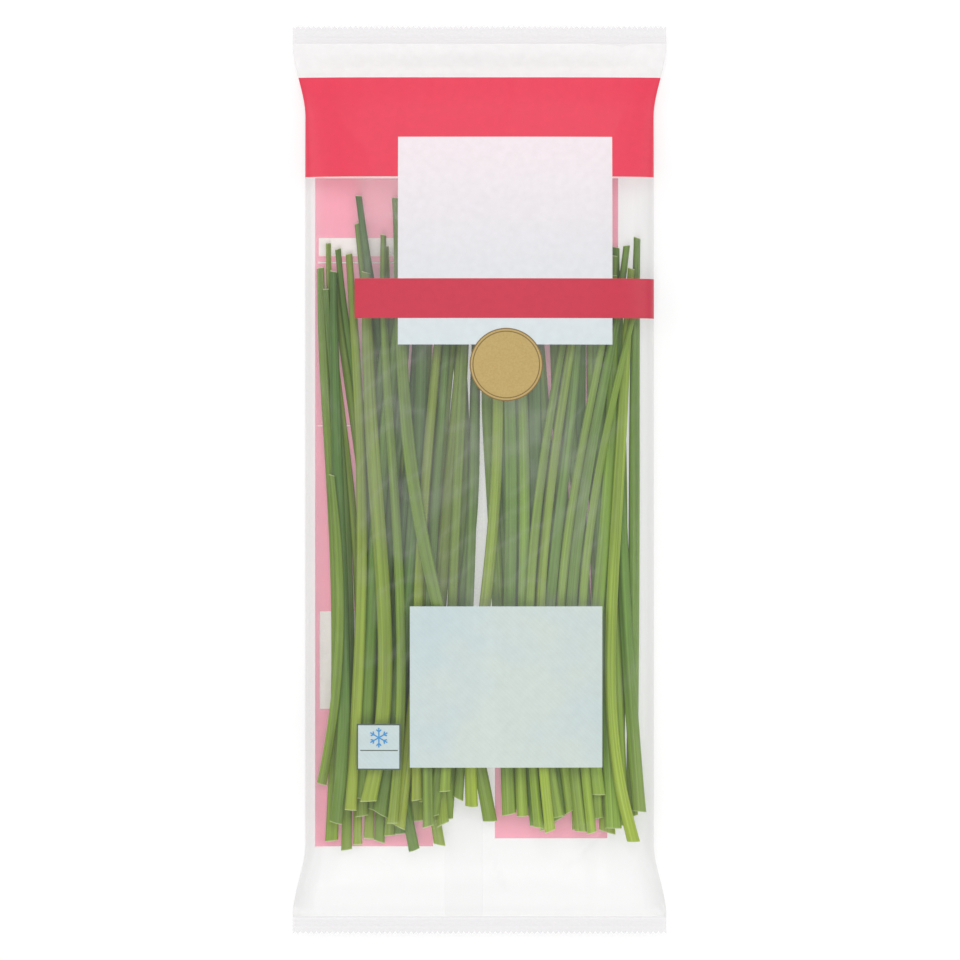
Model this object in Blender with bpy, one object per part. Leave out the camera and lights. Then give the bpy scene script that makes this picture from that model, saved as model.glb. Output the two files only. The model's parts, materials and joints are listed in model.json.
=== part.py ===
"""A bunch of cut chives lying loose in its clear film flow-pack, on its back on a table.

The pack is one web of film: folded round into a tube, joined along a seam underneath and
crimped flat at both ends. The chives are hollow leaves cut to length, pressed a little flat.
They are laid in the pack one after another, each on those below it, and none is fixed.

Frame: X across the pack, Y along it with the leaf tips at +Y, Z up. The origin is on the
table under the middle of the pack. Units are metres.
"""

import math

import bmesh
import bpy
import numpy as np

MM = 0.001

# The pack
PACK_LENGTH = 259.4 * MM
BODY_WIDTH = 99.6 * MM
SEAL_WIDTH = 106.8 * MM
SEAL_DEPTH = 5.0 * MM
FILM = 0.5 * MM
PACK_HEIGHT = 13.6 * MM
SEAL_LIFT = 3.0 * MM
FLARE_LENGTH = 21.0 * MM
TIP_END_SLOPE = 74.0 * MM
ROOT_END_SLOPE = 30.0 * MM
FOLD_SHARE = 0.40
FLAT_SHARE = 0.80
SEAM_X = -4.5 * MM
SEAM_GAP = 0.4 * MM
LEAST_HOLLOW = 0.5 * MM

# The leaves
SEED = 90
LEFT_LEAVES = 9
RIGHT_LEAVES = 14
LEAF_ASPECT = 0.62
LEAF_GAP = 0.36 * MM
FILM_GAP = 0.45 * MM
LEAF_SIDES = 6
LEAF_RINGS = 14
STATIONS = 48
WIDTH_AT = ((0.0, 0.12, 0.6, 0.85, 1.0), (1.0, 1.0, 0.94, 0.80, 0.54))
CUT_SLANT = 0.35

# Where the two sheaves part. In millimetres: how far to the right the left sheaf reaches and
# how far to the left the right sheaf does, at each y in PARTING_AT.
PARTING_AT = (-104, -88, -60, -30, 25, 60)
LEFT_SHEAF_TO = (-8.0, -7.5, -1.5, -0.2, 0.0, 1.0)
RIGHT_SHEAF_FROM = (10.0, 9.5, 3.0, 0.8, 0.6, 1.0)

# The other leaves of the left sheaf end behind the printed panel. In millimetres: how far to
# the left they reach at two heights.
PANEL_AT = (15, 58)
BEHIND_PANEL_FROM = (-38.0, -21.5)

# Leaves that show and have a place of their own. In millimetres: width, y of the root end,
# x at the root end, x at each height in PLACED_AT, x at the tip and y of the tip.
PLACED_AT = (-60, -25, 5, 35)
EDGE_LEAVES = {
    "right_edge_chive": (3.1, -96.3, 44.0, 44.4, 44.6, 44.8, 44.9, 45.6, 69.3),
    "left_edge_chive_1": (3.3, -103.2, -42.5, -41.0, -41.6, -43.0, -45.3, -46.2, 60.7),
    "right_thin_chive": (2.4, -99.2, 40.2, 40.8, 41.3, 41.2, 40.6, 40.3, 59.9),
}
LOW_LEAVES = {
    "left_low_chive_1": (2.2, -104.3, -34.9, -34.4, -35.2, -37.8, -41.6, -43.3, 67.8),
    "left_low_chive_2": (2.7, -105.8, -37.4, -36.8, -37.4, -39.3, -42.2, -44.0, 54.6),
    "left_low_chive_3": (2.6, -102.6, -31.8, -30.6, -31.6, -34.6, -39.4, -42.2, 57.9),
    "left_low_chive_4": (2.6, -103.5, -29.4, -27.6, -28.4, -31.6, -37.0, -40.7, 66.1),
    "left_low_chive_5": (2.7, -101.7, -26.6, -24.6, -25.2, -27.4, -30.8, -35.2, 73.5),
    "left_low_chive_6": (2.9, -101.2, -23.5, -21.4, -22.0, -24.2, -28.2, -34.9, 81.3),
    "left_low_chive_7": (4.0, -97.5, -19.1, -18.0, -18.8, -21.4, -25.4, -27.4, 66.6),
    "left_low_chive_8": (2.8, -105.8, -18.5, -24.0, -22.6, -20.4, -18.4, -17.4, 62.0),
    "left_low_chive_9": (2.8, -104.3, -12.1, -17.4, -18.0, -17.0, -15.2, -14.0, 66.0),
}
TOP_LEAVES = {
    "left_light_chive": (3.0, -94.1, -35.9, -34.1, -32.9, -33.5, -34.9, -37.2, 64.7),
    "middle_chive_1": (2.5, -91.0, -7.0, -4.7, -3.4, -1.9, -1.7, -1.6, 62.7),
    "middle_chive_2": (2.7, -98.6, -13.8, -14.1, -13.3, -11.5, -9.4, -7.0, 68.4),
    "middle_chive_3": (2.7, -91.2, -18.1, -18.1, -17.0, -15.0, -12.1, -9.3, 65.5),
    "middle_chive_5": (3.0, -96.0, 12.9, 12.2, 13.2, 13.2, 12.4, 11.8, 67.0),
    "middle_chive_6": (3.6, -95.5, 9.4, 8.6, 9.6, 9.4, 8.6, 8.1, 74.1),
    "fan_chive_1": (2.9, -96.0, 22.4, 18.9, 20.6, 25.1, 27.4, 28.6, 71.3),
    "fan_chive_2": (2.5, -99.2, 16.1, 13.4, 14.4, 17.6, 22.8, 27.8, 61.3),
    "fan_chive_3": (2.7, -100.0, 19.4, 16.2, 17.5, 20.5, 25.4, 29.8, 67.0),
    "left_edge_chive_2": (3.2, -97.8, -40.3, -37.8, -38.9, -40.2, -41.1, -41.5, 59.6),
    "left_thin_chive": (2.6, -97.8, -24.1, -21.5, -22.7, -24.1, -26.6, -27.2, 70.1),
    "right_wide_chive": (3.5, -89.8, 34.0, 32.2, 34.5, 37.3, 37.8, 38.3, 64.1),
    "left_wide_chive": (4.1, -91.5, -31.5, -26.6, -27.5, -29.9, -31.4, -32.1, 59.3),
    "middle_chive_7": (2.7, -88.6, -10.7, -9.3, -8.0, -6.4, -4.8, -3.3, 69.8),
    "fan_chive_4": (2.6, -94.6, 25.4, 21.9, 23.7, 28.0, 34.1, 38.3, 58.4),
    "fan_chive_5": (3.0, -100.3, 28.4, 25.0, 26.7, 30.7, 36.8, 42.0, 67.0),
    "right_foot_chive": (3.2, -103.2, 44.0, 36.9, 37.6, 39.4, 40.9, 42.6, 60.4),
    "fan_chive_6": (2.4, -100.6, 31.6, 28.4, 30.0, 34.3, 41.0, 44.4, 48.5),
    "left_diagonal_chive": (3.6, -97.5, 2.4, -6.1, -15.0, -20.1, -22.5, -24.2, 80.7),
    "middle_chive_4": (3.2, -93.2, -3.0, -1.9, 2.0, 4.8, 4.7, 5.0, 71.3),
    "short_chive": (2.4, -86.9, -44.4, -40.2, -39.6, -42.0, 1.4),
}

LIGHT_LEAVES = (
    "short_chive", "left_light_chive", "left_wide_chive", "left_diagonal_chive", "middle_chive_4",
    "middle_chive_7", "fan_chive_2", "fan_chive_4", "fan_chive_6", "right_wide_chive",
    "right_foot_chive",
)
DARK_LEAVES = ("right_edge_chive", "left_edge_chive_2", "middle_chive_2", "fan_chive_1")

MATERIALS = {
    "film": ((0.93, 0.94, 0.94, 0.25), 0.15),
    "leaf_mid_green": ((0.20, 0.33, 0.07, 1.0), 0.45),
    "leaf_dark_green": ((0.11, 0.24, 0.07, 1.0), 0.45),
    "leaf_light_green": ((0.31, 0.43, 0.08, 1.0), 0.45),
}


def clear_scene():
    for obj in list(bpy.data.objects):
        bpy.data.objects.remove(obj, do_unlink=True)


def make_material(name):
    colour, roughness = MATERIALS[name]
    material = bpy.data.materials.new(name)
    material.use_nodes = True
    shader = material.node_tree.nodes["Principled BSDF"]
    shader.inputs["Base Color"].default_value = colour
    shader.inputs["Alpha"].default_value = colour[3]
    shader.inputs["Roughness"].default_value = roughness
    return material


# Shape of the pack

def smooth_step(t):
    t = np.clip(t, 0.0, 1.0)
    return t * t * (3 - 2 * t)


def half_width(y):
    """Half the pack's width: the filled body pulls in, the flat seals are full width."""
    from_end = PACK_LENGTH / 2 - SEAL_DEPTH - np.abs(y)
    flare = 1 - smooth_step(from_end / FLARE_LENGTH)
    return (BODY_WIDTH + (SEAL_WIDTH - BODY_WIDTH) * flare) / 2


def underside(y):
    """Height of the film's lower face: flat on the table, lifting to the seals."""
    from_end = PACK_LENGTH / 2 - SEAL_DEPTH - np.abs(y)
    return SEAL_LIFT * (1 - smooth_step(from_end / FLARE_LENGTH))


def pack_height(y):
    """Outer height of the tube, which closes slowly above the tips and soon below the roots."""
    to_tip_seal = np.clip((PACK_LENGTH / 2 - SEAL_DEPTH - y) / TIP_END_SLOPE, 0, 1)
    to_root_seal = np.clip((PACK_LENGTH / 2 - SEAL_DEPTH + y) / ROOT_END_SLOPE, 0, 1)
    filled = (np.sin(math.pi / 2 * to_tip_seal) * np.sin(math.pi / 2 * to_root_seal)) ** 0.8
    return 2 * FILM + (PACK_HEIGHT - 2 * FILM) * filled


def upper_film(x, y, inset=0.0):
    """Height of the tube's upper surface, or of a surface inset into it."""
    across = np.clip(np.abs(x) / (half_width(y) - inset), 0, 1)
    height = pack_height(y)
    fold = underside(y) + FOLD_SHARE * height
    return fold + ((1 - FOLD_SHARE) * height - inset) * (1 - across**3.4) ** 0.45


def lower_film(x, y, inset=0.0):
    """Height of the lower surface: flat to FLAT_SHARE of the width, then up to the fold."""
    across = np.clip(np.abs(x) / (half_width(y) - inset), 0, 1)
    turned = np.clip((across - FLAT_SHARE) / (1 - FLAT_SHARE), 0, 1)
    fold = underside(y) + FOLD_SHARE * pack_height(y)
    rise = FOLD_SHARE * pack_height(y) - inset
    return fold - rise * (1 - turned**2.2) ** 0.5


# Laying the leaves

def sheaf(random, name, count, root_x, middle_x, tip_x, lowest_root):
    """Leaves side by side whose tips stray more than their roots."""
    leaves = []
    for k in range(count):
        share = (k + 0.5) / count
        root_share = np.clip(share + random.normal(0, 0.02), 0, 1)
        tip_share = np.clip(share + random.normal(0, 0.10), 0, 1)
        bow = random.normal(0, 2.2)
        across = (
            root_x[0] + (root_x[1] - root_x[0]) * root_share,
            middle_x[0] + (middle_x[1] - middle_x[0]) * share + bow,
            tip_x[0] + (tip_x[1] - tip_x[0]) * tip_share,
        )
        leaves.append({
            "name": f"{name}_{k + 1:02d}",
            "root_y": -random.uniform(91, lowest_root) * MM,
            "tip_y": np.clip(random.normal(66, 7), 52, 81) * MM,
            "line": fitted([0, 0.45, 1], np.array(across) * MM, 2),
            "width": random.uniform(3.1, 4.4) * MM,
            "slack": 5 * MM,
        })
    return leaves


def placed_leaf(name, sizes):
    width, root_y, *across, tip_y = sizes
    heights = [y for y in PLACED_AT if y < tip_y]
    shares = [(y - root_y) / (tip_y - root_y) for y in (root_y, *heights, tip_y)]
    return {
        "name": name,
        "root_y": root_y * MM,
        "tip_y": tip_y * MM,
        "line": fitted(shares, np.array(across) * MM, min(4, len(across) - 1)),
        "width": width * MM,
        "slack": 0.5 * MM,
    }


def all_leaves():
    """Every leaf in the order of laying: edges, low ones, both sheaves shuffled, then the top."""
    random = np.random.default_rng(SEED)
    leaves = sheaf(random, "left_chive", LEFT_LEAVES, (-33, -8), (-31, -2), (-21, 0), 103)
    leaves += sheaf(random, "right_chive", RIGHT_LEAVES, (12, 39), (2.5, 40), (3, 37), 101)
    random.shuffle(leaves)
    low = [placed_leaf(*item) for item in (EDGE_LEAVES | LOW_LEAVES).items()]
    return low + leaves + [placed_leaf(*item) for item in TOP_LEAVES.items()]


def fitted(share, values, degree):
    return np.polynomial.Polynomial.fit(share, values, degree)


def leaf_radius(leaf, share):
    return leaf["width"] / 2 * np.interp(share, *WIDTH_AT)


def room_in_film(x, y, radius):
    """Lowest and highest centre heights at which an oval leaf clears the film."""
    lowest, highest = [], []
    for side in (-0.9, -0.5, 0.0, 0.5, 0.9):
        rise = radius * LEAF_ASPECT * math.sqrt(1 - side**2) + FILM_GAP
        lowest.append(lower_film(x + side * radius, y, FILM) + rise)
        highest.append(upper_film(x + side * radius, y, FILM) - rise)
    return np.max(lowest, axis=0), np.min(highest, axis=0)


def height_needed(x, y, radius, laid):
    """Lowest centre heights at which a leaf clears the film and every leaf already laid."""
    needed, _ = room_in_film(x, y, radius)
    for other in laid:
        if max(x.min() - other["x"].max(), other["x"].min() - x.max()) > 5 * MM:
            continue
        reach = radius + np.interp(y, other["y"], other["radius"]) + LEAF_GAP
        beside = x - np.interp(y, other["y"], other["x"])
        near = (np.abs(beside) < reach) & (y > other["y"][0]) & (y < other["y"][-1])
        above = LEAF_ASPECT * np.sqrt(np.maximum(reach**2 - beside**2, 0))
        top = np.interp(y, other["y"], other["z"]) + above
        needed = np.where(near, np.maximum(needed, top), needed)
    return needed


def settle(needed):
    """A smooth line over the heights needed, as a springy leaf lies over what is under it."""
    line = needed.copy()
    for _ in range(90):
        line[1:-1] = (line[:-2] + 2 * line[1:-1] + line[2:]) / 4
        line[0] = (line[0] + 2 * line[1] - line[2]) / 2
        line[-1] = (line[-1] + 2 * line[-2] - line[-3]) / 2
        line = np.maximum(line, needed)
    return line


def lay(leaf, laid):
    """Shifts a leaf sideways to where it lies lowest under the upper film, and settles it."""
    rings = np.linspace(0, 1, LEAF_RINGS)
    share = np.linspace(-0.03, 1.03, STATIONS)
    y = leaf["root_y"] + (leaf["tip_y"] - leaf["root_y"]) * share
    radius = leaf_radius(leaf, share)
    line = leaf["line"](np.clip(share, 0, 1))
    wall = half_width(y) - FILM - MM - radius
    low, high = -wall, wall
    if leaf["name"].startswith("left_chive"):
        high = np.interp(y / MM, PARTING_AT, LEFT_SHEAF_TO) * MM - radius
        behind = np.interp(y / MM, PANEL_AT, BEHIND_PANEL_FROM) * MM
        low = np.where(y / MM > PANEL_AT[0], behind + radius, low)
    if leaf["name"].startswith("right_chive"):
        low = np.interp(y / MM, PARTING_AT, RIGHT_SHEAF_FROM) * MM + radius
    best = None
    for shift in np.linspace(-leaf["slack"], leaf["slack"], 15):
        for turn in np.linspace(-0.6, 0.6, 3) * leaf["slack"]:
            x = np.clip(line + shift + turn * (2 * share - 1), low, high)
            needed = height_needed(x, y, radius, laid)
            over = np.maximum(0, needed - room_in_film(x, y, radius)[1])
            cost = needed.mean() + 0.3 * needed.max() + 6 * over.mean() + 2 * over.max()
            cost += 0.10 * abs(shift) + 0.05 * abs(turn)
            if best is None or cost < best[0]:
                best = (cost, x)
    ring_x = np.interp(rings, share, best[1])
    x = np.interp(share, rings, ring_x)
    needed = height_needed(x, y, radius, laid)
    ring_z = np.interp(rings, share, settle(needed))
    short = needed - np.interp(share, rings, ring_z)
    for k, ring in enumerate(rings):
        close = np.abs(share - ring) <= rings[1]
        ring_z[k] += max(0.0, short[close].max())
    z = np.interp(share, rings, ring_z)
    leaf.update(x=x, y=y, z=z, radius=radius)
    leaf["rings"] = (ring_x, np.interp(rings, share, y), ring_z, leaf_radius(leaf, rings))
    laid.append(leaf)


# Making the solids

def lofted(name, rings):
    """A closed mesh through rings of equal point counts, capped at both ends."""
    mesh = bmesh.new()
    loops = [[mesh.verts.new(point) for point in ring] for ring in rings]
    count = len(loops[0])
    for first, second in zip(loops, loops[1:]):
        for i in range(count):
            j = (i + 1) % count
            mesh.faces.new((first[i], first[j], second[j], second[i]))
    mesh.faces.new(loops[0])
    mesh.faces.new(loops[-1])
    bmesh.ops.recalc_face_normals(mesh, faces=mesh.faces)
    data = bpy.data.meshes.new(name)
    mesh.to_mesh(data)
    mesh.free()
    obj = bpy.data.objects.new(name, data)
    bpy.context.scene.collection.objects.link(obj)
    return obj


def shade_round(obj, angle=40):
    obj.data.shade_smooth()
    obj.data.set_sharp_from_angle(angle=math.radians(angle))


def leaf_rings(leaf, slants):
    """Oval rings square to the leaf's own line, with the cut ends slanted."""
    *centres, radii = leaf["rings"]
    centres = np.transpose(centres)
    ahead = np.gradient(centres, axis=0)
    rings = []
    for k, (centre, along, radius) in enumerate(zip(centres, ahead, radii)):
        along = along / np.linalg.norm(along)
        across = np.cross(along, (0, 0, 1))
        across = across / np.linalg.norm(across)
        above = np.cross(across, along)
        slant = {0: slants[0], len(centres) - 1: slants[1]}.get(k, 0.0)
        ring = []
        for turn in range(LEAF_SIDES):
            angle = 2 * math.pi * turn / LEAF_SIDES
            side = radius * math.cos(angle)
            rise = radius * LEAF_ASPECT * math.sin(angle)
            ring.append(tuple(centre + side * (across + slant * along) + rise * above))
        rings.append(ring)
    return rings


def leaf_green(name, random):
    green = random.choice(("leaf_mid_green", "leaf_dark_green", "leaf_light_green"))
    if name in LIGHT_LEAVES:
        green = "leaf_light_green"
    if name in DARK_LEAVES:
        green = "leaf_dark_green"
    return green


def make_leaves():
    laid = []
    for leaf in all_leaves():
        lay(leaf, laid)
    random = np.random.default_rng(SEED + 1)
    materials = {name: make_material(name) for name in MATERIALS if name != "film"}
    for leaf in laid:
        slants = random.uniform(-CUT_SLANT, CUT_SLANT, 2)
        obj = lofted(leaf["name"], leaf_rings(leaf, slants))
        obj.data.materials.append(materials[leaf_green(leaf["name"], random)])
        shade_round(obj, 70)


def pack_ring(y, inset, count=11):
    """The pack's cross-section at y, from the left fold over the top and back underneath."""
    angles = np.linspace(-math.pi / 2, math.pi / 2, count * 2 - 1)
    x = (half_width(y) - inset) * np.sin(angles)
    top = [(a, y, b) for a, b in zip(x, upper_film(x, y, inset))]
    bottom = [(a, y, b) for a, b in zip(x, lower_film(x, y, inset))]
    return top + bottom[-2:0:-1]


def make_film():
    """The film tube: an outer shape less a hollow, with the seam slit open underneath."""
    end = PACK_LENGTH / 2
    from_seal = (end - SEAL_DEPTH) * np.linspace(0, 1, 12) ** 1.4
    root_half = [-(end - SEAL_DEPTH) + step for step in from_seal]
    tip_half = [end - SEAL_DEPTH - step for step in reversed(from_seal[:-1])]
    stations = [-end, *root_half, *tip_half, end]
    outer = lofted("film_pack", [pack_ring(y, 0.0) for y in stations])

    hollow_at = [y for y in stations if pack_height(y) > 2 * FILM + LEAST_HOLLOW]
    hollow = lofted("hollow", [pack_ring(y, FILM) for y in hollow_at])
    slit_length = hollow_at[-1] - hollow_at[0] - FLARE_LENGTH
    slit = lofted("slit", [
        [(SEAM_X + side * SEAM_GAP / 2, y, z) for side, z in corners]
        for y in (-slit_length / 2, slit_length / 2)
        for corners in [[(-1, -MM), (1, -MM), (1, 2 * MM), (-1, 2 * MM)]]
    ])
    for cutter in (hollow, slit):
        cutter.hide_render = True
        cutter.display_type = "WIRE"
        cut = outer.modifiers.new(cutter.name, "BOOLEAN")
        cut.operation = "DIFFERENCE"
        cut.object = cutter
    outer.data.materials.append(make_material("film"))
    shade_round(outer)


def main():
    clear_scene()
    make_film()
    make_leaves()


main()
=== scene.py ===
# %% [markdown]
# # Cut chives in a clear film pack
#
# A supermarket pack of chives: some fifty hollow leaves, cut to one length, lie loose in a
# tube of clear printed film that is crimped flat at both ends. This notebook dresses the
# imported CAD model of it. The CAD says where each leaf and the film are. Here each leaf gets
# its round skin, its hollow cut ends and its streaked green, and the film gets its wrinkles,
# its print and its gloss.
#
# Lengths are in metres, as in the CAD. X runs across the pack, Y along it with the leaf tips
# at +Y, and Z up from the table.

# %% Load the frame
import json
import math

import bpy
import numpy as np
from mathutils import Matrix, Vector, noise


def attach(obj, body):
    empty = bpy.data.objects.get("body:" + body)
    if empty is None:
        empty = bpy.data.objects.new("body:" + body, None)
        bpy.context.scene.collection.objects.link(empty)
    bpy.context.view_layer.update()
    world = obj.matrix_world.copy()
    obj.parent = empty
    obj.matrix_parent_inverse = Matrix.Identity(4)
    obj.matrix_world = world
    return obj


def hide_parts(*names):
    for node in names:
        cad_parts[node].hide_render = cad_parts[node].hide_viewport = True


MM = 0.001
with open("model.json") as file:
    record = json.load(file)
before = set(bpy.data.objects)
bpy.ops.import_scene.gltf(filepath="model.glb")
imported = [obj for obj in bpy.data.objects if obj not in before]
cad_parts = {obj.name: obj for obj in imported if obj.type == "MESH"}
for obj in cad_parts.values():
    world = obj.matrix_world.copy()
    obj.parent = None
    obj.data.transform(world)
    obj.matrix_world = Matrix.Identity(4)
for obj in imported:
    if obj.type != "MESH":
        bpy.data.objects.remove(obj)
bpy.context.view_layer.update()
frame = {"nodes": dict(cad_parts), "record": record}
leaf_nodes = sorted(name for name in frame["nodes"] if name != "film_pack")
print(len(leaf_nodes), "chive leaves and one film pack in the frame")

# %% [markdown]
# ## Helpers for materials
#
# Colours are picked as sRGB hex values, the way a paint program or a photo shows them.
# Blender's sockets want linear light, so one function converts them. A second one adds a
# node, sets it up and wires it in a single call, which keeps each material readable as a
# short list of steps.

# %% Colours and nodes
def linear(code):
    """The linear RGBA of an sRGB hex colour."""
    parts = [int(code[i:i + 2], 16) / 255 for i in (1, 3, 5)]
    low = [part / 12.92 for part in parts]
    high = [((part + 0.055) / 1.055) ** 2.4 for part in parts]
    return tuple(a if p <= 0.04045 else b for p, a, b in zip(parts, low, high)) + (1.0,)


def add(tree, kind, inputs=None, **settings):
    """Adds a node. Each input takes a value, or another node's output as a link."""
    made = tree.nodes.new("ShaderNode" + kind)
    for name, value in settings.items():
        setattr(made, name, value)
    for socket, value in (inputs or {}).items():
        if isinstance(value, bpy.types.NodeSocket):
            tree.links.new(value, made.inputs[socket])
        else:
            made.inputs[socket].default_value = value
    return made


def start_material(name, **sockets):
    """A new material, its node tree and its shader with the given plain values."""
    material = bpy.data.materials.new(name)
    material.use_nodes = True
    tree = material.node_tree
    shader = tree.nodes["Principled BSDF"]
    for socket, value in sockets.items():
        shader.inputs[socket.replace("_", " ")].default_value = value
    return material, tree, shader


# %% [markdown]
# ## The camera, the table and the light
#
# The photo looks straight at the face of the pack, so the camera looks straight down on it
# from a long way off, with a long lens. The 960 pixel frame shows 273.6 mm of table. The
# photo has no shadow round the pack, and white light shows through the gaps between leaves,
# so the table is a plain white light table: part of its white is paint and part is its own
# glow. Chive leaves are waxy and the film is glossy, so the rest of the light comes from
# large soft panels at the sides, out of the mirror direction, over an even white surround.

# %% Camera
VIEW_WIDTH = 273.6 * MM
SENSOR_WIDTH = 36.0
CAMERA_HEIGHT = 1.6
LOOK_AT = Vector((0.14 * MM, 0.0, 8.0 * MM))

camera_data = bpy.data.cameras.new("camera")
camera_data.sensor_width = SENSOR_WIDTH
camera_data.lens = SENSOR_WIDTH * (CAMERA_HEIGHT - LOOK_AT.z) / VIEW_WIDTH
camera = bpy.data.objects.new("camera", camera_data)
camera.location = (LOOK_AT.x, LOOK_AT.y, CAMERA_HEIGHT)
bpy.context.scene.collection.objects.link(camera)
bpy.context.scene.camera = camera
bpy.context.scene.view_settings.view_transform = "Standard"
print(f"lens {camera_data.lens:.0f} mm for a view of {VIEW_WIDTH / MM:.1f} mm")


# %% Table and light
def link_mesh(name, points, faces, smooth=True):
    """Makes a mesh object from points and faces."""
    data = bpy.data.meshes.new(name)
    data.from_pydata([tuple(point) for point in points], [], faces)
    data.update()
    if smooth:
        data.shade_smooth()
    made = bpy.data.objects.new(name, data)
    bpy.context.scene.collection.objects.link(made)
    return made


TABLE_HALF = 1.5
TABLE_DROP = 0.05 * MM
SURROUND_STRENGTH = 0.42
table_corners = [(-1, -1), (1, -1), (1, 1), (-1, 1)]
table = link_mesh(
    "table", [(TABLE_HALF * a, TABLE_HALF * b, -TABLE_DROP) for a, b in table_corners],
    [(0, 1, 2, 3)], smooth=False,
)
table_paint, _, _ = start_material(
    "white_light_table", Base_Color=linear("#B9B9B9"), Roughness=0.7,
    Emission_Color=linear("#FFFFFF"), Emission_Strength=0.50,
)
table.data.materials.append(table_paint)

world = bpy.data.worlds.new("surround")
world.use_nodes = True
surround = world.node_tree.nodes["Background"]
surround.inputs["Color"].default_value = linear("#FFFFFF")
surround.inputs["Strength"].default_value = SURROUND_STRENGTH
bpy.context.scene.world = world

# Each softbox: where it stands, its size and its power in watts.
SOFTBOXES = {
    "near_softbox": ((-0.15, -0.95, 2.0), 1.1, 15.5),
    "left_softbox": ((-0.95, 0.35, 0.75), 0.8, 3.8),
    "right_softbox": ((0.95, 0.25, 0.75), 0.8, 3.2),
    "far_softbox": ((0.15, 1.05, 2.0), 1.1, 10.0),
}
for name, (place, size, power) in SOFTBOXES.items():
    light = bpy.data.lights.new(name, "AREA")
    light.size = size
    light.energy = power
    lamp = bpy.data.objects.new(name, light)
    lamp.location = place
    lamp.rotation_euler = (-Vector(place)).to_track_quat("-Z", "Y").to_euler()
    bpy.context.scene.collection.objects.link(lamp)
print(len(SOFTBOXES), "softboxes")

# %% [markdown]
# ## Chive leaves: the shape
#
# A chive leaf is a hollow tube, 2 to 4 mm wide, that narrows slowly to its tip. In a pack it
# is pressed a little flat, and often creased along its length. The shears leave both ends
# open and pinched, with a thin pale rim. A tube could be a curve with a bevel, but then its
# ends couldn't be open and its section couldn't change, so each leaf is a loft: the middle
# line and the width are read off its CAD solid, softened into a springy curve, and rings are
# set along it. The loft turns inwards at each end, so the cut shows a wall and a hole.

# %% Read a leaf's line
RING_GAP = 3 * MM      # less than the distance between two rings of a CAD leaf


def leaf_line(node):
    """Middle points and half widths along a CAD leaf, from the root end to the tip."""
    corners = np.array([vertex.co for vertex in frame["nodes"][node].data.vertices])
    corners = np.unique(corners.round(6), axis=0)
    corners = corners[np.argsort(corners[:, 1])]
    rings = np.split(corners, np.flatnonzero(np.diff(corners[:, 1]) > RING_GAP) + 1)
    middles = np.array([ring.mean(axis=0) for ring in rings])
    halves = [np.linalg.norm(ring - ring.mean(axis=0), axis=1).max() for ring in rings]
    halves[0], halves[-1] = halves[1], 2 * halves[-2] - halves[-3]
    return middles, np.array(halves)


def softened(values, passes):
    """The same run of values with its corners eased and its ends kept."""
    values = values.copy()
    for _ in range(passes):
        values[1:-1] = (values[:-2] + 2 * values[1:-1] + values[2:]) / 4
    return values


lines = {node: leaf_line(node) for node in leaf_nodes}
print("rings per CAD leaf:", sorted({len(middles) for middles, _ in lines.values()}))

# %% Loft a leaf
LEAF_STEPS = 100
LEAF_SIDES = 24
SOFTENING = 16              # passes that ease the CAD leaf's straight runs into a curve
LEAF_ASPECT = 0.62          # height of a leaf's section over its width
ASPECT_DRIFT = 0.06         # how much that varies along a leaf
MEAN_RADIUS_SHARE = 0.82    # the section's mean radius over its half width
ROUNDING = 0.10 * MM        # added to the half width, as a curve cuts the CAD's corners
TIP_TAPER = 0.05            # share of its width that a leaf loses towards its tip
TAPER_FROM = 0.72           # share of the length where that starts
PINCH_LENGTH = 5.0 * MM     # how far the shears' pinch reaches along a leaf
PINCH_FLATTENS = 0.34
PINCH_WIDENS = 0.06
CUT_SLANT = 0.40            # the most that a cut end slants
RAGGED = 0.06 * MM          # the most that its edge is ragged
CREASE_DEPTHS = (0.0, 0.10, 0.20)
CREASE_ODDS = (0.3, 0.4, 0.3)
CREASE_SPREAD = 0.30        # radians round the section
CREASE_WANDER = 0.3         # radians that a crease drifts to each side
KEEL = 0.025                # how far the section is three-cornered
NARROWEST_HOLLOW = 0.12     # share of the section that the hollow keeps at least
SHARP_EDGE = 55             # degrees, so the rim of a cut stays crisp
FIRST_SEED = 1000
PATTERN_STEP = 37.0         # mm between the leaves' patterns, so no two leaves share one
LEFT_SHEAF_SHADE = 0.6      # painted shade: the left sheaf is a little darker, and the right one a little paler
RIGHT_SHEAF_SHADE = -0.3

# The loops at a cut end, from deep in the hollow out to the skin: how far inside the skin
# each lies, how far in along the leaf, and how much of the pale cut it shows.
WALL = 0.32 * MM
END_LOOPS = (
    (1.15 * WALL, 2.6 * MM, 0.0),
    (WALL, 0.5 * MM, 0.35),
    (0.75 * WALL, 0.0, 1.0),
    (0.0, 0.0, 1.0),
    (-0.03 * MM, 0.28 * MM, 0.0),
)


def smooth_step(t):
    """Eases from 0 at 0 to 1 at 1."""
    t = np.clip(t, 0.0, 1.0)
    return t * t * (3 - 2 * t)


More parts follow.
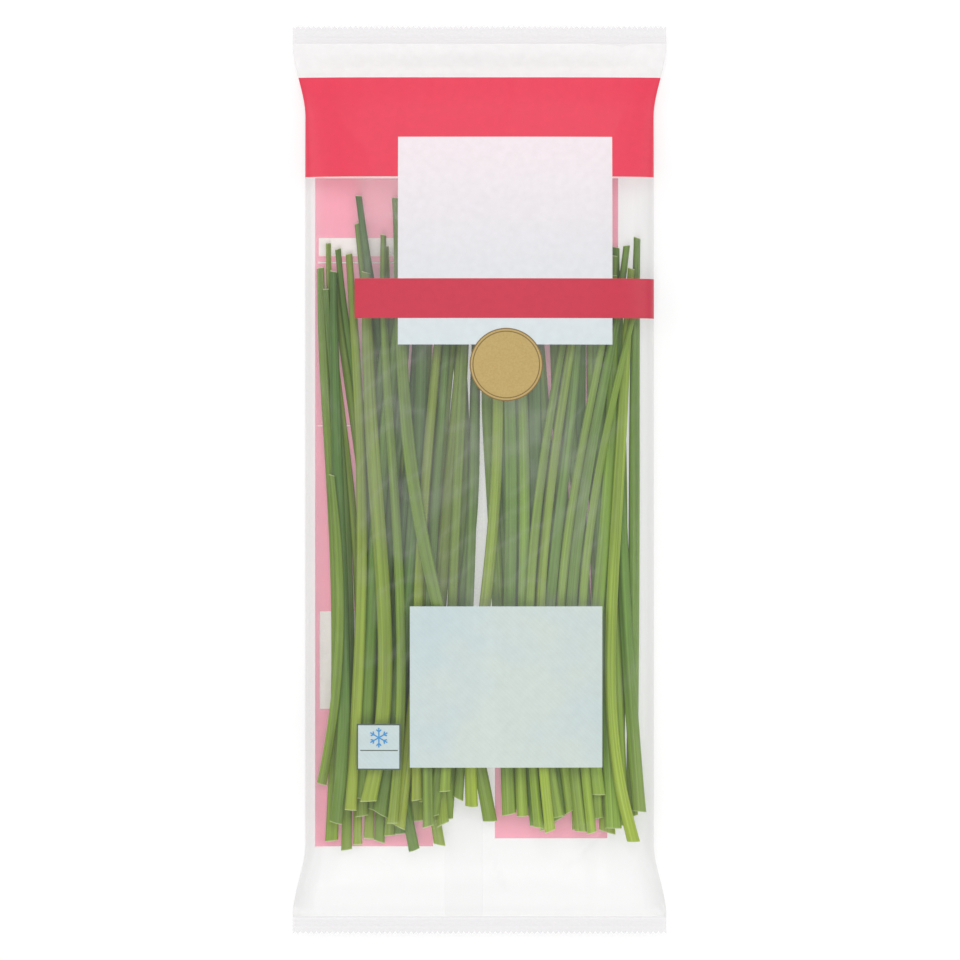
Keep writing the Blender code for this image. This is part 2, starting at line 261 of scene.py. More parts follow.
def leaf_section(random, share, length, half):
    """Ring offsets across and above the line, for every step along a leaf."""
    around = np.linspace(0, 2 * math.pi, LEAF_SIDES, endpoint=False)
    from_end = np.minimum(share, 1 - share)[:, None] * length
    pinch = np.exp(-from_end / PINCH_LENGTH)
    drift = np.sin(random.uniform(0, 6) + share[:, None] * random.uniform(8, 20))
    aspect = LEAF_ASPECT * (1 - PINCH_FLATTENS * pinch) * (1 + ASPECT_DRIFT * drift)
    wide = half[:, None] * (1 + PINCH_WIDENS * pinch)
    crease_at = math.pi / 2 + random.uniform(-0.6, 0.6) + CREASE_WANDER * np.sin(
        random.uniform(0, 6) + share[:, None] * random.uniform(3, 7))
    crease = random.choice(CREASE_DEPTHS, p=CREASE_ODDS)
    fade = 0.5 + 0.5 * np.sin(random.uniform(0, 6) + share[:, None] * 9)
    dent = 1 - crease * fade * np.exp(-(((around - crease_at) / CREASE_SPREAD) ** 2))
    keel = 1 + KEEL * np.cos(3 * around + random.uniform(0, 6))
    return wide * dent * keel * np.cos(around), wide * aspect * dent * keel * np.sin(around)


def leaf_path(node, share):
    """The softened middle line of a leaf and its half width, at each share of its length."""
    middles, halves = lines[node]
    knots = np.linspace(0, 1, len(middles))
    path = [softened(np.interp(share, knots, middles[:, k]), SOFTENING) for k in range(3)]
    half = softened(np.interp(share, knots, halves), SOFTENING) + ROUNDING
    half *= 1 - TIP_TAPER * smooth_step((share - TAPER_FROM) / (1 - TAPER_FROM))
    return np.stack(path, 1), half


def leaf_directions(path):
    """Directions along, across and above a path, at each of its points."""
    ahead = np.gradient(path, axis=0)
    ahead /= np.linalg.norm(ahead, axis=1)[:, None]
    across = np.cross(ahead, (0, 0, 1))
    across /= np.linalg.norm(across, axis=1)[:, None]
    return ahead, across, np.cross(across, ahead)


def tube_faces(count, sides):
    """Faces of a tube of loops that lie one after another, with both ends capped."""
    last = (count - 1) * sides
    faces = [tuple(range(sides))[::-1], tuple(range(last, last + sides))]
    for row in range(count - 1):
        for k in range(sides):
            j = (k + 1) % sides
            a, b = row * sides, (row + 1) * sides
            faces.append((a + k, a + j, b + j, b + k))
    return faces


def loft_leaf(node, index):
    """The skin of one leaf as a closed mesh with hollow ends."""
    random = np.random.default_rng(FIRST_SEED + index)
    share = np.linspace(0, 1, LEAF_STEPS)
    path, half = leaf_path(node, share)
    length = np.linalg.norm(np.diff(path, axis=0), axis=1).sum()
    ahead, across, above = leaf_directions(path)
    side, rise = leaf_section(random, share, length, half)

    slants = random.uniform(-CUT_SLANT, CUT_SLANT, 2)
    ragged = random.uniform(0.0, RAGGED, 2)
    around = np.linspace(0, 2 * math.pi, LEAF_SIDES, endpoint=False)
    loops, along, cut = [], [], []

    def add_loop(step, inset, inward, pale):
        inner = np.maximum(1 - inset / np.hypot(side[step], rise[step]), NARROWEST_HOLLOW)
        loop = (path[step] + (side[step] * inner)[:, None] * across[step]
                + (rise[step] * inner)[:, None] * above[step])
        end = 0 if step == 0 else 1
        if step in (0, LEAF_STEPS - 1):
            slope = slants[end] * side[step] + ragged[end] * np.sin(3 * around + step)
            loop = loop + (slope + (inward if end == 0 else -inward))[:, None] * ahead[step]
        loops.append(loop)
        along.append(share[step])
        cut.append(pale)

    for loop in END_LOOPS:
        add_loop(0, *loop)
    for step in range(1, LEAF_STEPS - 1):
        add_loop(step, 0.0, 0.0, 0.0)
    for loop in reversed(END_LOOPS):
        add_loop(LEAF_STEPS - 1, *loop)

    leaf = link_mesh(f"{node}_leaf", np.concatenate(loops), tube_faces(len(loops), LEAF_SIDES))
    leaf.data.set_sharp_from_angle(angle=math.radians(SHARP_EDGE))
    note_leaf(leaf.data, np.repeat(along, LEAF_SIDES), np.repeat(cut, LEAF_SIDES),
              np.tile(around, len(loops)), half.max(), length, index, random)
    return leaf


def note_leaf(data, along, cut, around, half, length, index, random):
    """Stores on each corner where it is on the leaf, for the material to read."""
    in_left_sheaf = np.mean([vertex.co.x for vertex in data.vertices]) < 0
    mean_radius = half * MEAN_RADIUS_SHARE
    pattern = np.full(len(along), index * PATTERN_STEP)
    place = np.stack([around * mean_radius / MM, along * length / MM, pattern], 1)
    leaf_mm = data.attributes.new("leaf_mm", "FLOAT_VECTOR", "POINT")
    leaf_mm.data.foreach_set("vector", place.ravel())
    tint = random.uniform(0, 1)
    # painted shade: the whole left sheaf is shifted darker and the right one paler
    depth = tint + (LEFT_SHEAF_SHADE if in_left_sheaf else RIGHT_SHEAF_SHADE)
    for name, values in (("along", along), ("cut", cut), ("tint", np.full(len(along), tint)),
                         ("depth", np.full(len(along), depth))):
        data.attributes.new(name, "FLOAT", "POINT").data.foreach_set("value", values)


# %% [markdown]
# ## Chive leaves: the skin
#
# The skin is living green tissue under a thin wax. Fine veins run the whole length, about
# 0.3 mm apart, as pale and dark streaks. The root end grew in the shade and is more yellow,
# and the far half is bluer and darker. The wax scatters a soft sheen and carries faint grey
# patches where it was rubbed. One recipe makes three greens, one for each colour slot of the
# model. Two numbers stored on each leaf shift them a little, so that no two are alike: its
# tint moves the hue, and its tone makes it paler or darker. A painted shade makes the whole
# left sheaf darker than the right one.

# %% Leaf materials
VEIN_GAP = 0.32      # mm between veins, as on a real leaf
VEIN_RUN = 45.0      # mm over which a vein fades into the next
BAND_GAP = 0.9       # mm between the broader pale and dark bands, groups of veins
BAND_RUN = 70.0      # mm over which a band fades into the next
BLOOM_WIDTH = 3.0    # mm across the leaf, patches of rubbed wax
BLOOM_LENGTH = 9.0   # mm along it
STREAK_SHADE = {"To Min": 0.80, "To Max": 1.16}      # from dark veins to pale ones
BAND_SHADE = {"To Min": 0.78, "To Max": 1.20}
HUE_SHIFT = {"To Min": 0.482, "To Max": 0.508}       # from yellower leaves to bluer ones
VALUE_SHIFT = {"To Min": 1.10, "To Max": 0.86}       # from pale leaves to dark ones
ROUGHNESS_RANGE = {"To Min": 0.36, "To Max": 0.56}   # from fresh wax to rubbed wax
MOST_WAX = 0.15
WAX_GREY = "#A3B585"
PALE_CUT = "#C9D69A"
NOISE_MIDDLE = {"From Min": 0.3, "From Max": 0.7}    # where nearly all of a noise's values lie

# Each green from the root end, by the middle, to the tip.
GREENS = {
    "leaf_light_green": ("#95B134", "#84A335", "#74922B"),
    "leaf_mid_green": ("#8AA835", "#709732", "#638726"),
    "leaf_dark_green": ("#7B9B35", "#5E8632", "#547B2B"),
}


def leaf_material(slot):
    root, middle, tip = (linear(code) for code in GREENS[slot])
    material, tree, shader = start_material(
        slot.replace("leaf_", "chive_skin_"), Roughness=0.5, IOR=1.42,
    )
    place = add(tree, "Attribute", attribute_name="leaf_mm").outputs["Vector"]
    along = add(tree, "Attribute", attribute_name="along").outputs["Fac"]
    tint = add(tree, "Attribute", attribute_name="tint").outputs["Fac"]
    depth = add(tree, "Attribute", attribute_name="depth").outputs["Fac"]
    cut = add(tree, "Attribute", attribute_name="cut").outputs["Fac"]

    patterns = []
    for width, run, detail in ((VEIN_GAP, VEIN_RUN, 2.0), (BAND_GAP, BAND_RUN, 1.0),
                               (BLOOM_WIDTH, BLOOM_LENGTH, 4.0)):
        scaled = add(tree, "VectorMath", {0: place, 1: (1 / width, 1 / run, 1.0)},
                     operation="MULTIPLY")
        patterns.append(add(tree, "TexNoise", {"Vector": scaled.outputs[0], "Scale": 1.0,
                                               "Detail": detail}))
    veins, bands, bloom = patterns

    low = add(tree, "MapRange", {"Value": along, "From Min": 0.0, "From Max": 0.30})
    high = add(tree, "MapRange", {"Value": along, "From Min": 0.45, "From Max": 1.0})
    green = add(tree, "Mix", {0: low.outputs[0], 6: root, 7: middle}, data_type="RGBA")
    green = add(tree, "Mix", {0: high.outputs[0], 6: green.outputs[2], 7: tip}, data_type="RGBA")
    hue = add(tree, "MapRange", {"Value": tint} | HUE_SHIFT)
    # the leaf's random tone, with the painted shade of the left sheaf, sets how pale or dark it is
    value = add(tree, "MapRange", {"Value": depth} | VALUE_SHIFT, clamp=False)
    green = add(tree, "HueSaturation", {"Hue": hue.outputs[0], "Value": value.outputs[0],
                                        "Color": green.outputs[2]})
    streak = add(tree, "MapRange", {"Value": veins.outputs[0]} | NOISE_MIDDLE | STREAK_SHADE)
    band = add(tree, "MapRange", {"Value": bands.outputs[0]} | NOISE_MIDDLE | BAND_SHADE)
    shade = add(tree, "Math", {0: streak.outputs[0], 1: band.outputs[0]}, operation="MULTIPLY")
    green = add(tree, "HueSaturation", {"Value": shade.outputs[0], "Color": green.outputs[0]})
    wax = add(tree, "MapRange", {"Value": bloom.outputs[0], "From Min": 0.50, "From Max": 0.80,
                                 "To Max": MOST_WAX})
    green = add(tree, "Mix", {0: wax.outputs[0], 6: green.outputs[0], 7: linear(WAX_GREY)},
                data_type="RGBA")
    green = add(tree, "Mix", {0: cut, 6: green.outputs[2], 7: linear(PALE_CUT)}, data_type="RGBA")
    tree.links.new(green.outputs[2], shader.inputs["Base Color"])

    gloss = add(tree, "MapRange", {"Value": bloom.outputs[0]} | ROUGHNESS_RANGE)
    tree.links.new(gloss.outputs[0], shader.inputs["Roughness"])
    bump = add(tree, "Bump", {"Height": veins.outputs[0], "Strength": 0.35, "Distance": 0.06 * MM})
    tree.links.new(bump.outputs[0], shader.inputs["Normal"])
    return material


leaf_materials = {slot: leaf_material(slot) for slot in GREENS}
print("leaf materials:", ", ".join(m.name for m in leaf_materials.values()))

# %% Make every leaf
slot_of = {part["node"]: part["material_slot"] for part in frame["record"]["subparts"]}
for index, node in enumerate(leaf_nodes):
    leaf = loft_leaf(node, index)
    leaf.data.materials.append(leaf_materials[slot_of[node]])
    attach(leaf, "root")
    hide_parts(node)
print(len(leaf_nodes), "leaves with", len(leaf.data.polygons), "faces each")

# %% [markdown]
# ## The film: where it runs
#
# The pack is one sheet of clear polypropylene film, about 0.04 mm thick. It is folded round
# into a tube, and the flat underside carries the long seam. It could be simulated as cloth,
# but film hardly stretches, and its print has to keep straight edges, so it is a grid over
# the same curves as the CAD pack. The grid's own lines run along every edge of the print,
# which keeps those edges sharp without an image.

# %% The pack's curves, as in the CAD
PACK_LENGTH = 259.4 * MM
BODY_WIDTH = 99.6 * MM
SEAL_WIDTH = 106.8 * MM
SEAL_DEPTH = 5.0 * MM
CAD_FILM = 0.5 * MM
PACK_HEIGHT = 13.6 * MM
SEAL_LIFT = 3.0 * MM
FLARE_LENGTH = 21.0 * MM
TIP_END_SLOPE = 74.0 * MM
ROOT_END_SLOPE = 30.0 * MM
FOLD_SHARE = 0.40
FLAT_SHARE = 0.80
TUBE_END = PACK_LENGTH / 2 - SEAL_DEPTH


def half_width(y):
    flare = 1 - smooth_step((TUBE_END - np.abs(y)) / FLARE_LENGTH)
    return (BODY_WIDTH + (SEAL_WIDTH - BODY_WIDTH) * flare) / 2


def underside(y):
    return SEAL_LIFT * (1 - smooth_step((TUBE_END - np.abs(y)) / FLARE_LENGTH))


def pack_height(y):
    to_tip = np.clip((TUBE_END - y) / TIP_END_SLOPE, 0, 1)
    to_root = np.clip((TUBE_END + y) / ROOT_END_SLOPE, 0, 1)
    filled = (np.sin(math.pi / 2 * to_tip) * np.sin(math.pi / 2 * to_root)) ** 0.8
    return 2 * CAD_FILM + (PACK_HEIGHT - 2 * CAD_FILM) * filled


def front_film(u, y):
    """Height of the front film, where u runs from -1 to 1 across the pack."""
    height = pack_height(y)
    fold = underside(y) + FOLD_SHARE * height
    return fold + (1 - FOLD_SHARE) * height * (1 - np.abs(u) ** 3.4) ** 0.45


def back_film(u, y):
    """Height of the back film: flat on the table, then up to the side folds."""
    turned = np.clip((np.abs(u) - FLAT_SHARE) / (1 - FLAT_SHARE), 0, 1)
    fold = underside(y) + FOLD_SHARE * pack_height(y)
    return fold - FOLD_SHARE * pack_height(y) * (1 - turned ** 2.2) ** 0.5


# %% Where the print is
# Each printed area as left, right, low and high edge in mm, later ones over earlier ones.
FRONT_PRINT = [
    ("frosted_header_ink", -60.0, 60.0, 114.9, 130.0),
    ("pink_band_ink", -60.0, 60.0, 86.4, 114.9),
    ("white_panel_ink", -23.2, 37.8, 38.5, 97.8),
    ("crimson_strip_ink", -35.5, 60.0, 46.0, 57.3),
    ("date_label_ink", -19.8, 34.9, -81.7, -35.9),
    ("box_line_ink", -34.9, -22.4, -82.4, -69.3),
    ("date_label_ink", -34.5, -22.8, -82.0, -69.7),
    ("box_line_ink", -33.9, -23.2, -77.0, -76.7),
]
BACK_PRINT = [
    ("pink_panel_ink", -47.2, -13.3, -104.9, 86.4),
    ("pink_panel_ink", 4.4, 39.7, -70.0, 86.4),
    ("pink_panel_ink", 4.4, 36.6, -102.6, -70.0),
    ("pale_box_ink", -46.0, -24.0, 64.1, 69.3),
    ("pale_box_ink", -46.4, -22.0, 62.1, 62.4),
    ("pale_box_ink", -46.4, -22.0, 15.4, 15.7),
    ("pale_box_ink", -45.7, -20.0, -65.5, -37.6),
]


ROW_STEP = 1.3        # mm between the lines of the grid along the pack
COLUMN_STEP = 1.2     # mm between them across it
TURN_FROM = 0.93      # share of the half width from which the columns close up round the fold
TURN_COLUMNS = 10


def grid_lines(low, high, step, edges):
    """Even lines from low to high, moved or added so that one runs on every edge."""
    lines = list(np.linspace(low, high, round((high - low) / step) + 1))
    for edge in edges:
        if low < edge < high:
            kept = {low, high, *edges}
            lines = [line for line in lines if line in kept or abs(line - edge) > 0.45 * step]
            lines.append(edge)
    return np.array(sorted(set(lines)))


body_half = BODY_WIDTH / 2 / MM
x_edges = {edge for _, left, right, _, _ in FRONT_PRINT + BACK_PRINT for edge in (left, right)}
y_edges = {edge for *_, low, high in FRONT_PRINT + BACK_PRINT for edge in (low, high)}
rows = grid_lines(-TUBE_END / MM, TUBE_END / MM, ROW_STEP, sorted(y_edges)) * MM
turn_at = TURN_FROM * body_half
flat_columns = grid_lines(-turn_at, turn_at, COLUMN_STEP, sorted(x_edges)) / body_half
turn = np.sin(np.linspace(math.asin(TURN_FROM), math.pi / 2, TURN_COLUMNS))[1:]
columns = np.concatenate([-turn[::-1], flat_columns, turn])
print("film grid:", len(rows), "rows by", len(columns), "columns on each side")


# %% Wrinkles
# The third number of each noise point only picks another pattern.
GATHER_GAP = 7.0      # mm between the folds that the end seals gather
GATHER_HEIGHT = 0.20  # mm, dying away over GATHER_REACH
GATHER_REACH = 9.0
GATHER_START = 4.0    # mm from the seal over which the folds rise
SWELL_HEIGHT = 0.28   # mm, broad unevenness
RIPPLE_HEIGHT = 0.10  # mm, finer unevenness
CREASE_HALF = 0.9     # mm, half width of a sharp crease
CREASE_LINES = [      # start x and y, end x and y, and height, all in mm
    (-46, 108, -28, 90, 0.30), (44, 109, 30, 84, 0.30), (12, 118, 6, 92, 0.22),
    (-12, 119, -16, 96, 0.22), (46, 22, 28, 4, 0.25), (-47, 30, -36, 12, 0.20),
    (40, -96, 22, -112, 0.25), (-38, -98, -20, -114, 0.25), (2, -104, 8, -118, 0.22),
    (24, 36, 42, 30, 0.22), (-48, -40, -40, -58, 0.2), (47, -48, 38, -64, 0.2),
]


def crease_height(x, y):
    """Height in mm of the sharp little creases at a point given in mm."""
    total = 0.0
    for x0, y0, x1, y1, height in CREASE_LINES:
        reach = math.hypot(x1 - x0, y1 - y0)
        share = ((x - x0) * (x1 - x0) + (y - y0) * (y1 - y0)) / reach ** 2
        aside = abs((x - x0) * (y1 - y0) - (y - y0) * (x1 - x0)) / reach
        fade = max(0.0, 1 - (2 * share - 1) ** 2)
        total += height * fade * math.exp(-aside / CREASE_HALF)
    return total


def wrinkle(x, y):
    """How far the film stands out of its plain curve, in metres, at x and y in metres."""
    x, y = x / MM, y / MM
    to_end = TUBE_END / MM - abs(y)
    drift = noise.noise(Vector((x / 20, y / 30, 3.1)))
    gather = GATHER_HEIGHT * math.exp(-to_end / GATHER_REACH) * min(1, to_end / GATHER_START)
    gather *= math.sin(2 * math.pi * x / GATHER_GAP + 3 * drift)
    swell = SWELL_HEIGHT * noise.noise(Vector((x / 24, y / 34, 0.0)))
    ripple = RIPPLE_HEIGHT * noise.noise(Vector((x / 6, y / 22, 7.0)))
    return (gather + swell + ripple + crease_height(x, y)) * MM


def on_film(x, y, lift):
    """A point that lies a little above the front film."""
    height = float(front_film(x / float(half_width(y)), y)) + wrinkle(x, y)
    return (x, y, height + lift)


# %% [markdown]
# ## The film: its materials
#
# Clear polypropylene shows what is behind it with a slight grey haze and a hard gloss. On the
# model it is a surface of low alpha, because it is far too thin to bend what is seen through
# it. Its refractive index is 1.49, but one skin here stands for both faces of the film, so
# the index is raised to mirror about as much light as the two. Much of the film's gloss is
# painted: its alpha rises towards white where it should mirror the lamps, and along its
# creases. The print is ink on the inner side of the film, so it is matte colour under a thin
# clear coat. The ink lies unevenly, and a fine mottle keeps the flat areas from looking painted.

# %% Film and ink materials
FILM_INDEX = 1.9
INK_INDEX = 1.49
INK_MOTTLE = 2.2      # mm, uneven lay of the ink
FILM_WAVE = 14.0      # mm, the film's slight unevenness that moves its gloss
HATCH_GAP = 1.0       # mm between the faint slanted lines of the date label
LABEL_DRIFT = 22.0    # mm over which the label's tone drifts, as leaves behind it show faintly
LABEL_GREENER = "#C9D4CE"
PANEL_PINKER = "#EBDFE4"
PANEL_WASH = {"From Min": 40 * MM, "From Max": 98 * MM}      # where the panel turns pinker
MOTTLE_SHADE = {"To Min": 0.975, "To Max": 1.025}
HATCH_SHADE = {"To Min": 0.985, "To Max": 1.015}

# Each ink's colour and alpha.
INKS = {
    "frosted_header_ink": ("#EFEDED", 0.75),
    "pink_band_ink": ("#E32A4B", 1.0),
    "white_panel_ink": ("#D0D9DC", 1.0),
    "crimson_strip_ink": ("#C4213F", 1.0),
    "date_label_ink": ("#C0D0D2", 0.97),
    "box_line_ink": ("#4A5A50", 1.0),
    "pink_panel_ink": ("#FF8AA9", 0.72),
    "pale_box_ink": ("#FBF3F0", 0.85),
}


def ink_material(name):
    code, alpha = INKS[name]
    material, tree, shader = start_material(
        name, Roughness=0.5, IOR=INK_INDEX, Coat_Weight=0.3, Coat_Roughness=0.35, Alpha=alpha,
    )
    place = add(tree, "TexCoord").outputs["Object"]
    mottle = add(tree, "TexNoise", {"Vector": place, "Scale": 1000 / INK_MOTTLE, "Detail": 3.0})
    shade = add(tree, "MapRange", {"Value": mottle.outputs[0]} | NOISE_MIDDLE | MOTTLE_SHADE)
    colour = add(tree, "HueSaturation", {"Value": shade.outputs[0], "Color": linear(code)})
    if name == "date_label_ink":
        turns = 2 * math.pi / (HATCH_GAP * MM * math.sqrt(2))
        across = add(tree, "VectorMath", {0: place, 1: (turns, turns, 0.0)},
                     operation="DOT_PRODUCT")
        wave = add(tree, "Math", {0: across.outputs["Value"]}, operation="SINE")
        hatch = add(tree, "MapRange", {"Value": wave.outputs[0], "From Min": -1.0} | HATCH_SHADE)
        both = add(tree, "Math", {0: shade.outputs[0], 1: hatch.outputs[0]}, operation="MULTIPLY")
        tree.links.new(both.outputs[0], colour.inputs["Value"])
        drift = add(tree, "TexNoise", {"Vector": place, "Scale": 1000 / LABEL_DRIFT, "Detail": 2.0})
        tone = add(tree, "MapRange", {"Value": drift.outputs[0], "From Min": 0.35,
                                      "From Max": 0.65})
        tones = add(tree, "Mix", {0: tone.outputs[0], 6: linear(code), 7: linear(LABEL_GREENER)},
                    data_type="RGBA")
        tree.links.new(tones.outputs[2], colour.inputs["Color"])
    if name == "white_panel_ink":
        height = add(tree, "SeparateXYZ", {0: place}).outputs["Y"]
        up = add(tree, "MapRange", {"Value": height} | PANEL_WASH)
        wash = add(tree, "Mix", {0: up.outputs[0], 6: linear(code), 7: linear(PANEL_PINKER)},
                   data_type="RGBA")
        tree.links.new(wash.outputs[2], colour.inputs["Color"])
    tree.links.new(colour.outputs[0], shader.inputs["Base Color"])
    return material


def film_material(name, alpha, roughness, code="#BEBEBC"):
    """Clear film. With no alpha given, the haze and painted reflection stored on the mesh take its
    place.
    """
    material, tree, shader = start_material(
        name, Base_Color=linear(code), Roughness=roughness, IOR=FILM_INDEX, Alpha=alpha or 1.0,
    )
    if alpha is None:
        haze = add(tree, "Attribute", attribute_name="haze").outputs["Fac"]
        tree.links.new(haze, shader.inputs["Alpha"])
    place = add(tree, "TexCoord").outputs["Object"]
    waves = add(tree, "TexNoise", {"Vector": place, "Scale": 1000 / FILM_WAVE, "Detail": 2.0})
    bump = add(tree, "Bump", {"Height": waves.outputs[0], "Strength": 0.3, "Distance": 0.4 * MM})
    tree.links.new(bump.outputs[0], shader.inputs["Normal"])
    return material


film_materials = {"clear_film": film_material("clear_polypropylene_film", None, 0.12)}
film_materials["crimped_film"] = film_material("crimped_polypropylene_film", 0.50, 0.40, "#D8D5D8")
film_materials["folded_seam_film"] = film_material("folded_polypropylene_seam", 0.03, 0.2)
for name in INKS:
    film_materials[name] = ink_material(name)
print(len(film_materials), "film and ink materials")

# %% Haze of the film, with its painted reflections and glints
# The stored haze is the film's alpha: a little of the film's own haze, plus painted reflections of
# the lamps on the flat top and at the side folds, and painted glints along the creases.
HAZE_LEAST = 0.07
TOP_REFLECTION = 0.10      # painted reflection of the lamps, added where the flat top of the pillow mirrors them
FOLD_REFLECTION = 0.12      # painted reflection, added at the side folds, where the film is seen edge on
RIDGE_GLINT = 0.07     # painted glints, added along the thin creases where the film is pulled over the leaves
MOST_HAZE_AND_REFLECTION = 0.6
FOLD_FROM = 0.88      # share of the half width where a side fold starts
FLAT_HALF = 37.0      # mm, half width of the flat top
GLINT_WIDTH = 0.14    # how wide a glint is, as a share of the noise's height
CREASE_WHITENING_AND_GLINT = 0.35    # whitening and a painted glint, added for each mm that a sharp crease is high


def haze_and_reflection_at(u, y, front):
    """How milky the film is, with its painted reflections and glints, as an alpha at u across
    the pack and y along it in metres.

    The front film gets a painted reflection of the lamps on its flat top, but not over the
    roots or the lower left corner.
    """
    x, y = u * BODY_WIDTH / 2 / MM, y / MM
    # the film's own haze, and a painted reflection at the side folds
    haze = HAZE_LEAST + FOLD_REFLECTION * max(0.0, abs(u) - FOLD_FROM) / (1 - FOLD_FROM)
    if front:
        top = smooth_step((FLAT_HALF - abs(x)) / 4) * smooth_step((y + 60) / 10)
        corner = smooth_step((y + 20 + 0.8 * (x + 33)) / 12) if x < -2 else 1.0
        drift = 1 + 0.9 * noise.noise(Vector(((x + 0.3 * y) / 11, (y - 0.3 * x) / 24, 11.0)))
        # painted reflection of the lamps on the flat top, in drifting patches
        haze += TOP_REFLECTION * float(top * corner) * drift
        # painted glints along thin drifting ridges
        ridge = noise.noise(Vector(((x - 0.5 * y) / 9, (y + 0.4 * x) / 13, 5.0)))
        glint = max(0.0, 1 - abs(ridge) / GLINT_WIDTH) * max(0.0, 0.3 + drift)
        haze += RIDGE_GLINT * float(top) * min(glint, 1.0)
        # whitening and painted glints along the sharp creases
        haze += CREASE_WHITENING_AND_GLINT * crease_height(x, y)
    return min(haze, MOST_HAZE_AND_REFLECTION)


# %% Make the film tube
MATERIAL_ORDER = list(film_materials)
CLOSING_LENGTH = 8 * MM      # over which the two sides of the tube come together at a seal
LAYER_GAP = 0.03 * MM        # from the middle of the seal to each side
LOWEST_FILM = 0.12 * MM


def printed(areas, x, y):
    """The number of the material at a point given in mm, the last area that holds it."""
    name = "clear_film"
    for ink, left, right, low, high in areas:
        if left < x < right and low < y < high:
            name = ink
    return MATERIAL_ORDER.index(name)


def film_row(y):
    """Front and back points of the film across the pack at y."""
    wide = half_width(y)
    closing = smooth_step((TUBE_END - abs(y)) / CLOSING_LENGTH)
    seal = underside(y) + CAD_FILM
    x = columns * wide
    front = seal + LAYER_GAP + (front_film(columns, y) - seal) * closing
    back = seal - LAYER_GAP + (back_film(columns, y) - seal) * closing
    back = np.maximum(back, LOWEST_FILM)
    flat = 1 - np.abs(columns) ** 8
    front = front + np.array([wrinkle(a, y) for a in x]) * flat
    join = (front[[0, -1]] + back[[0, -1]]) / 2
    front[[0, -1]] = join
    front_points = [(a, y, z) for a, z in zip(x, front)]
    back_points = [(a, y, z) for a, z in zip(x[1:-1], back[1:-1])]
    return front_points + back_points[::-1]


points = [point for y in rows for point in film_row(y)]
# Each point's haze and painted reflection, front then back, as the film's alpha
haze = []
for y in rows:
    haze += [haze_and_reflection_at(u, y, True) for u in columns]
    haze += [haze_and_reflection_at(u, y, False) for u in columns[-2:0:-1]]
ring = 2 * len(columns) - 2
faces, inks = [], []
for row in range(len(rows) - 1):
    middle_y = (rows[row] + rows[row + 1]) / 2 / MM
    for k in range(ring):
        j = (k + 1) % ring
        a, b = row * ring, (row + 1) * ring
        faces.append((a + k, a + j, b + j, b + k))
        on_front = k < len(columns) - 1
        left = k if on_front else ring - k - 1
        middle_x = (columns[left] + columns[left + 1]) / 2 * body_half
        inks.append(printed(FRONT_PRINT if on_front else BACK_PRINT, middle_x, middle_y))
film = link_mesh("film_tube", points, faces)
for name in MATERIAL_ORDER:
    film.data.materials.append(film_materials[name])
film.data.polygons.foreach_set("material_index", inks)
film.data.attributes.new("haze", "FLOAT", "POINT").data.foreach_set("value", haze)
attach(film, "root")
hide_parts("film_pack")
print("film tube:", len(faces), "faces")

# %% [markdown]
# ## The end seals
#
# A hot jaw presses the two layers of film together at each end. It leaves four fine ribs
# across the pack, and a toothed knife cuts the film beside them in a zigzag.

# %% Make the end seals
TOOTH = 1.5 * MM
TOOTH_DEPTH = 0.7 * MM
RIB_GAP = 1.25 * MM
RIB_HEIGHT = 0.10 * MM
SEAL_WAVE = 0.25 * MM        # how much the cut edge waves up and down
SEAL_WAVE_LENGTH = 18 * MM
SEAL_ROWS = 26


def make_seal(name, end):
    """A crimped strip. End is 1 at the tips and -1 at the roots."""
    teeth = round(SEAL_WIDTH / TOOTH)
    x = np.linspace(-SEAL_WIDTH / 2, SEAL_WIDTH / 2, 2 * teeth + 1)
    rim = SEAL_DEPTH - TOOTH_DEPTH * (np.arange(len(x)) % 2)
    points = []
    for share in np.linspace(0, 1, SEAL_ROWS):
        for a, reach in zip(x, rim):
            out = share * reach
            rib = RIB_HEIGHT * math.sin(2 * math.pi * out / RIB_GAP) * min(1, 3 * share)
            wave = noise.noise(Vector((a / SEAL_WAVE_LENGTH, end * 2.0, 0.5))) * SEAL_WAVE * share
            points.append((a, end * (TUBE_END + out), SEAL_LIFT + CAD_FILM + rib + wave))
    faces = []
    for row in range(SEAL_ROWS - 1):
        for k in range(len(x) - 1):
            a, b = row * len(x) + k, (row + 1) * len(x) + k
            faces.append((a, a + 1, b + 1, b) if end > 0 else (a, b, b + 1, a + 1))
    seal = link_mesh(name, points, faces)
    seal.data.materials.append(film_materials["crimped_film"])
    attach(seal, "root")
    return seal


seals = [make_seal("tip_end_seal", 1), make_seal("root_end_seal", -1)]
print("end seals:", ", ".join(seal.name for seal in seals))

# %% [markdown]
# ## The back seam
#
# Along the underside, a little left of the middle, the film's two edges are sealed face to
# face, and the fin that this makes is folded flat. It shows faintly from below, and wherever
# there is a gap between the leaves.

# %% Make the back seam
SEAM_X = -4.5 * MM
FIN_WIDTH = 11.0 * MM
FIN_HEIGHT = 0.06 * MM
FIN_RIB_HEIGHT = 0.03 * MM
FIN_RIB_GAP = 1.6 * MM
FIN_ROWS = 240
FIN_COLUMNS = 14
seam_y = np.linspace(-TUBE_END, TUBE_END, FIN_ROWS)
seam_x = SEAM_X + np.linspace(-FIN_WIDTH / 2, FIN_WIDTH / 2, FIN_COLUMNS)
points = []
for y in seam_y:
    for x in seam_x:
        rib = FIN_RIB_HEIGHT * math.sin(2 * math.pi * x / FIN_RIB_GAP)
        points.append((x, y, float(underside(y)) + FIN_HEIGHT + rib))
faces = []
for row in range(FIN_ROWS - 1):
    for k in range(FIN_COLUMNS - 1):
        a, b = row * FIN_COLUMNS + k, (row + 1) * FIN_COLUMNS + k
        faces.append((a, b, b + 1, a + 1))
seam = link_mesh("back_seam", points, faces)
